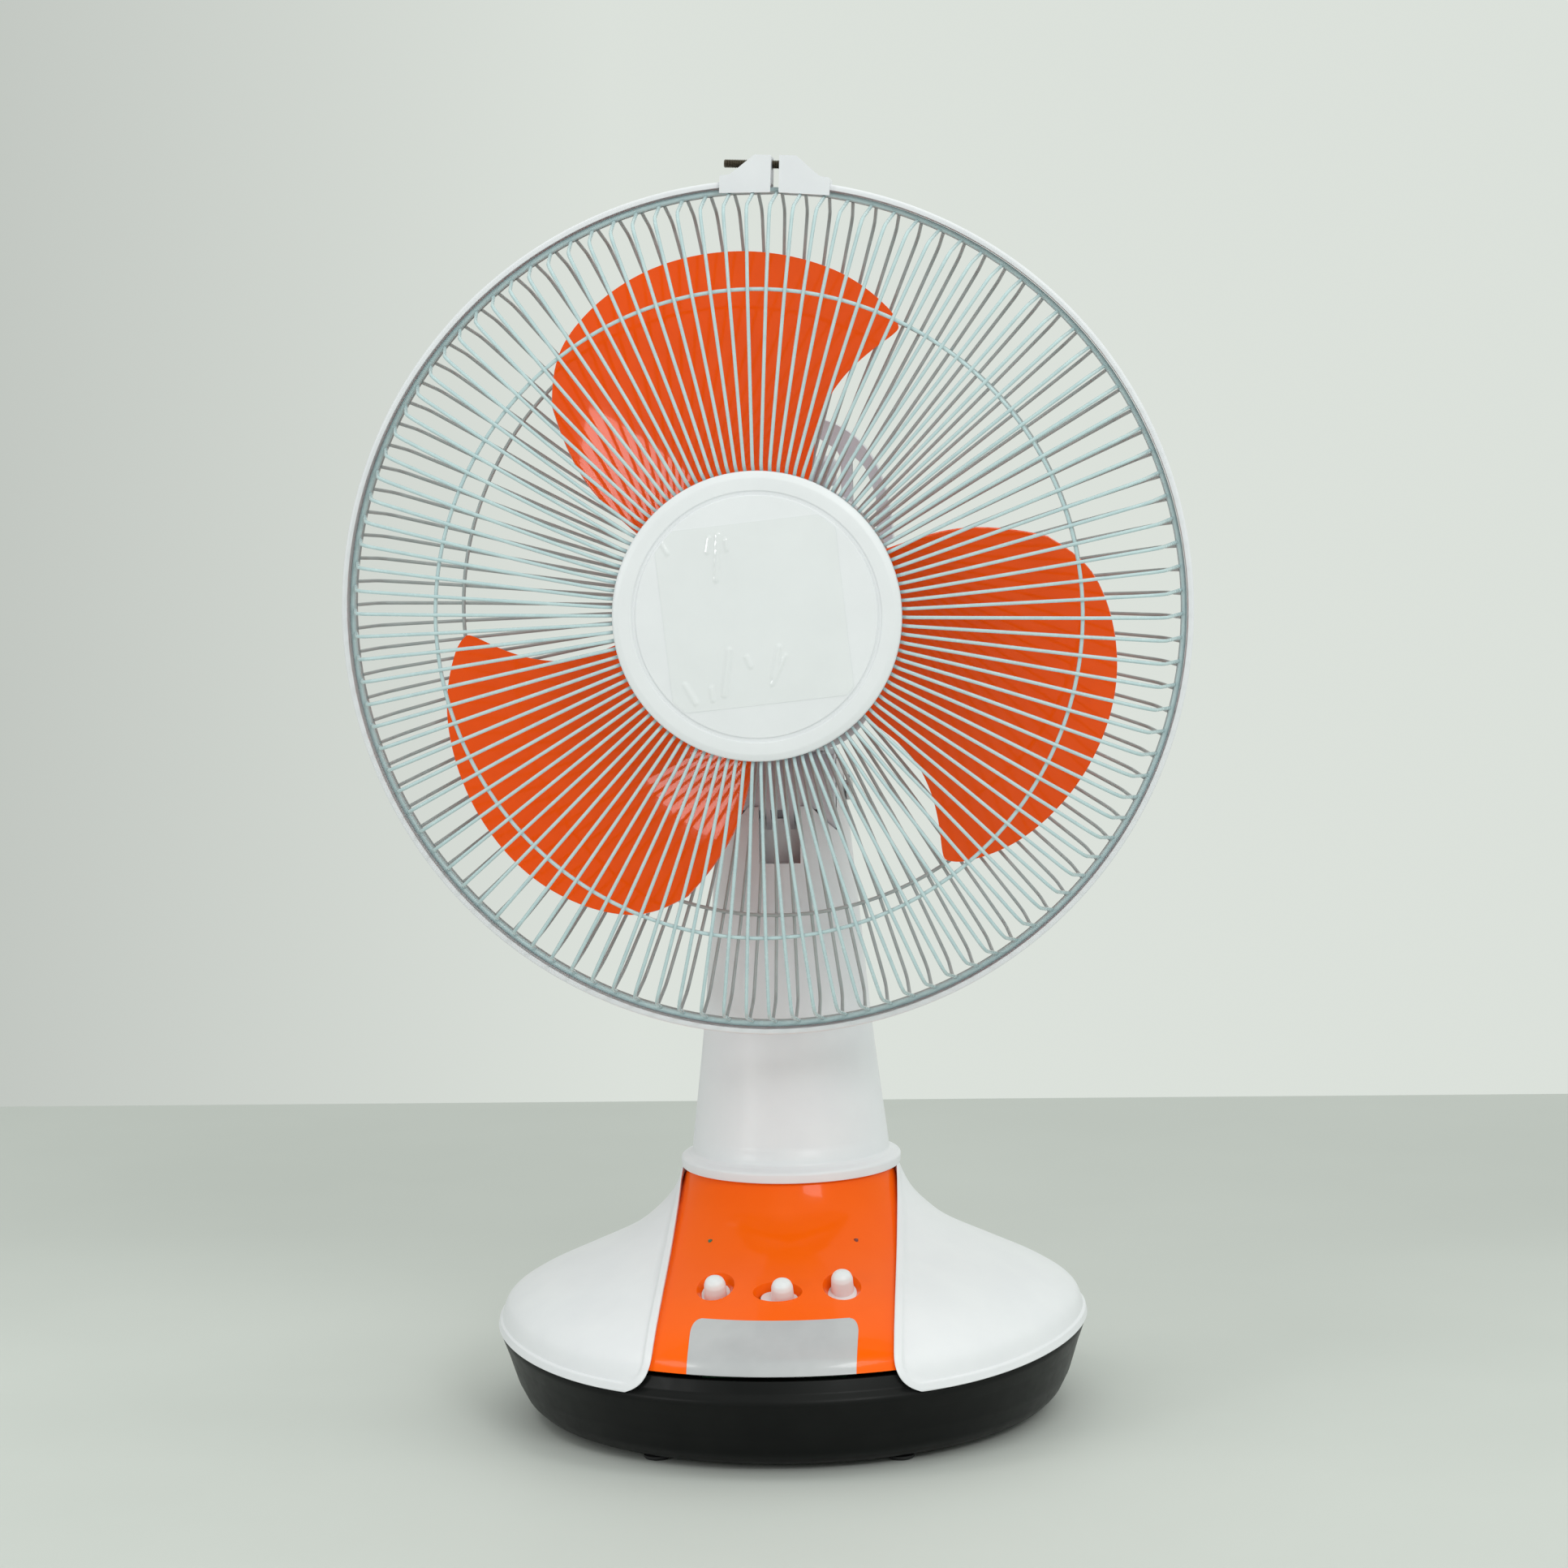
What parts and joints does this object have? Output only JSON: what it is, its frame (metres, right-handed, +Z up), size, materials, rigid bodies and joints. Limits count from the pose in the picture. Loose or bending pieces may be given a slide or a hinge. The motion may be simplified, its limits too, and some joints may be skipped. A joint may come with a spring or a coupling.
{
  "type": "desk fan",
  "caption": "Rechargeable desk fan with a caged impeller that swings and tilts on a column, and a round base with slide switches and a lamp window.",
  "frame": {"origin": "centre of the round base, on the surface that it stands on", "axes": "+Z up, -Y towards the front where the air leaves, +X to the right of a person facing the front"},
  "size_m": [0.3506, 0.255, 0.5338],
  "materials": {
    "white_plastic": "smooth moulded white plastic, soft gloss",
    "black_plastic": "satin moulded black plastic",
    "orange_plastic": "glossy moulded orange plastic",
    "blade_plastic": "glossy translucent orange plastic",
    "coated_wire": "pale aqua coated steel wire",
    "steel": "bright zinc-plated steel",
    "brass": "turned brass",
    "dark_metal": "dark cast or laminated metal",
    "circuit_board": "green circuit board with components",
    "battery_case": "sealed battery case",
    "diffuser_plastic": "milky translucent plastic",
    "foot_rubber": "moulded black rubber",
    "gear_nylon": "natural nylon",
    "switch_housing": "black switch housing",
    "green_lens": "green indicator lens",
    "red_lens": "red indicator lens"
  },
  "bodies": {
    "base": {"base_tub": "black_plastic", "foot_front_left": "foot_rubber", "foot_front_right": "foot_rubber", "foot_rear_left": "foot_rubber", "foot_rear_right": "foot_rubber", "base_shell": "white_plastic", "control_panel": "orange_plastic", "light_diffuser": "diffuser_plastic", "led_board": "circuit_board", "power_lamp": "green_lens", "charge_lamp": "red_lens", "battery": "battery_case", "battery_strap": "steel", "transformer": "dark_metal", "control_board": "circuit_board", "charge_inlet": "black_plastic", "column": "white_plastic", "tilt_pin": "steel", "led_switch_body": "switch_housing", "speed_switch_body": "switch_housing", "power_switch_body": "switch_housing"},
    "led_lever": {"led_switch_lever": "white_plastic"},
    "speed_lever": {"speed_switch_lever": "white_plastic"},
    "power_lever": {"power_switch_lever": "white_plastic"},
    "neck": {"neck_drum": "white_plastic", "swivel_post": "steel", "link_screw": "steel"},
    "link": {"swing_link": "steel"},
    "head": {"motor_front_housing": "white_plastic", "motor_rear_cover": "white_plastic", "carry_handle": "white_plastic", "motor_can": "steel", "motor_end_plate": "dark_metal", "magnet_left": "dark_metal", "magnet_right": "dark_metal", "front_bearing": "brass", "rear_bearing": "brass", "swivel_bracket": "dark_metal", "gearbox_case": "black_plastic", "front_guard": "coated_wire", "rear_guard": "coated_wire", "guard_nut": "white_plastic", "guard_hoop": "white_plastic", "clamp_block_left": "white_plastic", "clamp_block_right": "white_plastic", "clamp_screw": "steel", "clamp_nut": "steel", "badge_cap": "white_plastic", "badge_plate": "steel"},
    "rotor": {"motor_shaft": "steel", "drive_pin": "steel", "armature": "dark_metal", "commutator": "brass", "worm": "brass", "spinner_nut": "blade_plastic", "impeller": "blade_plastic"},
    "wheel": {"worm_wheel": "gear_nylon"},
    "crank": {"crank_gear": "gear_nylon", "crank_arm": "steel"},
    "knob": {"swing_knob": "white_plastic"}
  },
  "joints": [
    {"name": "tilt", "type": "hinge", "parent": "base", "child": "neck", "pos_m": [0, 0.01, 0.268], "axis": [1, 0, 0], "range_deg": [-20, 8]},
    {"name": "swing", "type": "hinge", "parent": "neck", "child": "head", "pos_m": [0, 0.01, 0.29], "axis": [0, 0, 1], "range_deg": [-40, 40]},
    {"name": "rotor_spin", "type": "hinge", "parent": "head", "child": "rotor", "pos_m": [0, 0.01, 0.348], "axis": [0, 1, 0], "continuous": true},
    {"name": "worm_wheel_turn", "type": "hinge", "parent": "head", "child": "wheel", "pos_m": [0.014, 0.06, 0.348], "axis": [0, 0, 1], "continuous": true},
    {"name": "crank_turn", "type": "hinge", "parent": "head", "child": "crank", "pos_m": [-0.0055, 0.06, 0.316], "axis": [0, 0, 1], "continuous": true},
    {"name": "link_pivot", "type": "hinge", "parent": "neck", "child": "link", "pos_m": [0.015, 0.01, 0.285], "axis": [0, 0, 1], "range_deg": [-39.5, 39.5]},
    {"name": "knob_pull", "type": "slide", "parent": "head", "child": "knob", "axis": [0, 0, 1], "range_m": [0, 0.006]},
    {"name": "led_switch", "type": "slide", "parent": "base", "child": "led_lever", "axis": [0, 0.8987, 0.4386], "range_m": [0, 0.003]},
    {"name": "speed_switch", "type": "slide", "parent": "base", "child": "speed_lever", "axis": [1, 0, 0], "range_m": [-0.004, 0]},
    {"name": "power_switch", "type": "slide", "parent": "base", "child": "power_lever", "axis": [0, 0.8987, 0.4386], "range_m": [-0.004, 0]}
  ],
  "couplings": [
    {"joint": "worm_wheel_turn", "follows": "rotor_spin", "ratio": 0.041667},
    {"joint": "crank_turn", "follows": "rotor_spin", "ratio": -0.0073529},
    {"joint": "link_pivot", "follows": "swing", "ratio": 0.97}
  ]
}
